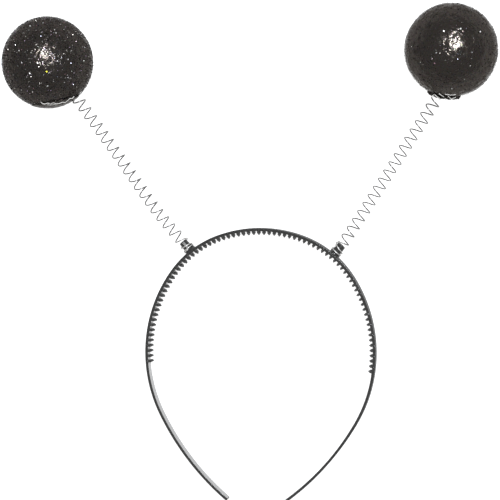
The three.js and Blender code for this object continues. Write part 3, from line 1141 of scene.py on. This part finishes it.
class BOPPER_OT_balls(bpy.types.Operator):
    """Models both foam balls with their coats of glitter"""

    bl_idname = "bopper.balls"
    bl_label = "Balls"

    def execute(self, context):
        ball = settings_of(context).ball
        flakes = cut_glitter()
        for name, row in BOPPERS.items():
            coat = bedded_glitter(
                f"glitter_bedded_in_glue_{name}", ball.colour, lump_width=row.lump_width,
                gleam=row.gleam, gleam_place=row.gleam_place, sparkle=row.sparkle)
            piece = finished_piece(coated_ball(name, ball), f"ball_{name}_coat", [coat])
            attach(piece, f"{name}_bopper")
            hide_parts(f"ball_{name}")
            scatter = glitter(name, ball, flakes)
            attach(scatter, f"{name}_bopper")
        return {"FINISHED"}


class BOPPER_OT_glue(bpy.types.Operator):
    """Models the glue where each spring goes into its ball"""

    bl_idname = "bopper.glue"
    bl_label = "Glue"

    def execute(self, context):
        glue = settings_of(context).glue
        melt = bedded_glitter(
            "glitter_sunk_in_hot_melt_glue", glue.colour, lump_width=1.2 * MM,
            gleam=0.3 * MM, gleam_place=0.0, sparkle=0.3)
        highlight_glue = drawn_glue_highlight(glue.highlight_glue_colour)
        for name in BOPPERS:
            piece = finished_piece(glue_bead(name, glue), f"glue_{name}_bead", [melt, highlight_glue])
            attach(piece, f"{name}_bopper")
            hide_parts(f"glue_{name}")
        return {"FINISHED"}


class BOPPER_OT_stage(bpy.types.Operator):
    """Lays the white ground and sets the light and the camera"""

    bl_idname = "bopper.stage"
    bl_label = "Stage"

    def execute(self, context):
        stage = settings_of(context).stage
        scene = context.scene
        bm = bmesh.new()
        bmesh.ops.create_grid(bm, x_segments=1, y_segments=1, size=stage.ground_width / 2)
        bmesh.ops.translate(bm, vec=(0.0, 0.0, -GROUND_DROP), verts=bm.verts)
        sheet = opal_light_table(stage.ground_colour, stage.ground_glow)
        ground = finished_piece(bm, "light_table", [sheet])
        self.set_camera(scene)
        self.set_light(scene, stage)
        scene.view_settings.view_transform = "Standard"
        return {"FINISHED"}

    def set_camera(self, scene):
        right, up, sight = sight_axes()
        lens = bpy.data.cameras.new("camera")
        lens.sensor_width = SENSOR_WIDTH
        lens.lens = SENSOR_WIDTH * FOCAL_PIXELS / IMAGE_WIDTH
        camera = bpy.data.objects.new("camera", lens)
        camera.matrix_world = (
            Matrix.Translation(LOOK_AT + sight * SIGHT_DISTANCE)
            @ Matrix((right, up, sight)).transposed().to_4x4()
        )
        scene.collection.objects.link(camera)
        scene.camera = camera

    def set_light(self, scene, stage):
        world = bpy.data.worlds.new("white_studio")
        world.use_nodes = True
        scene.world = world
        sky = world.node_tree.nodes["Background"]
        sky.inputs["Color"].default_value = (1.0, 1.0, 1.0, 1.0)
        sky.inputs["Strength"].default_value = stage.sky
        key = bpy.data.lights.new("key", "SUN")
        key.energy = stage.key
        key.color = stage.key_colour
        key.angle = stage.key_width
        lamp = bpy.data.objects.new("key", key)
        lamp.rotation_mode = "QUATERNION"
        lamp.rotation_quaternion = UP.rotation_difference(key_direction(stage))
        scene.collection.objects.link(lamp)


OPERATORS = (
    BOPPER_OT_headband,
    BOPPER_OT_springs,
    BOPPER_OT_balls,
    BOPPER_OT_glue,
    BOPPER_OT_stage,
)


class BOPPER_PT_panel(bpy.types.Panel):
    """Lists the pieces of the head bopper and their settings"""

    bl_idname = "BOPPER_PT_panel"
    bl_label = "Head bopper"
    bl_space_type = "VIEW_3D"
    bl_region_type = "UI"
    bl_category = "Bopper"

    def draw(self, context):
        settings = settings_of(context)
        groups = (settings.headband, settings.spring, settings.ball, settings.glue, settings.stage)
        for operator, group in zip(OPERATORS, groups):
            box = self.layout.box()
            box.operator(operator.bl_idname)
            for name in group.__annotations__:
                box.prop(group, name)


CLASSES = (
    HeadbandSettings,
    SpringSettings,
    BallSettings,
    GlueSettings,
    StageSettings,
    BopperSettings,
    *OPERATORS,
    BOPPER_PT_panel,
)


def register():
    for each in CLASSES:
        bpy.utils.register_class(each)
    bpy.types.Scene.bopper = bpy.props.PointerProperty(type=BopperSettings)


def unregister():
    del bpy.types.Scene.bopper
    for each in reversed(CLASSES):
        bpy.utils.unregister_class(each)


def main():
    register()
    bpy.ops.bopper.headband()
    bpy.ops.bopper.springs()
    bpy.ops.bopper.balls()
    bpy.ops.bopper.glue()
    bpy.ops.bopper.stage()


if __name__ == "__main__":
    main()
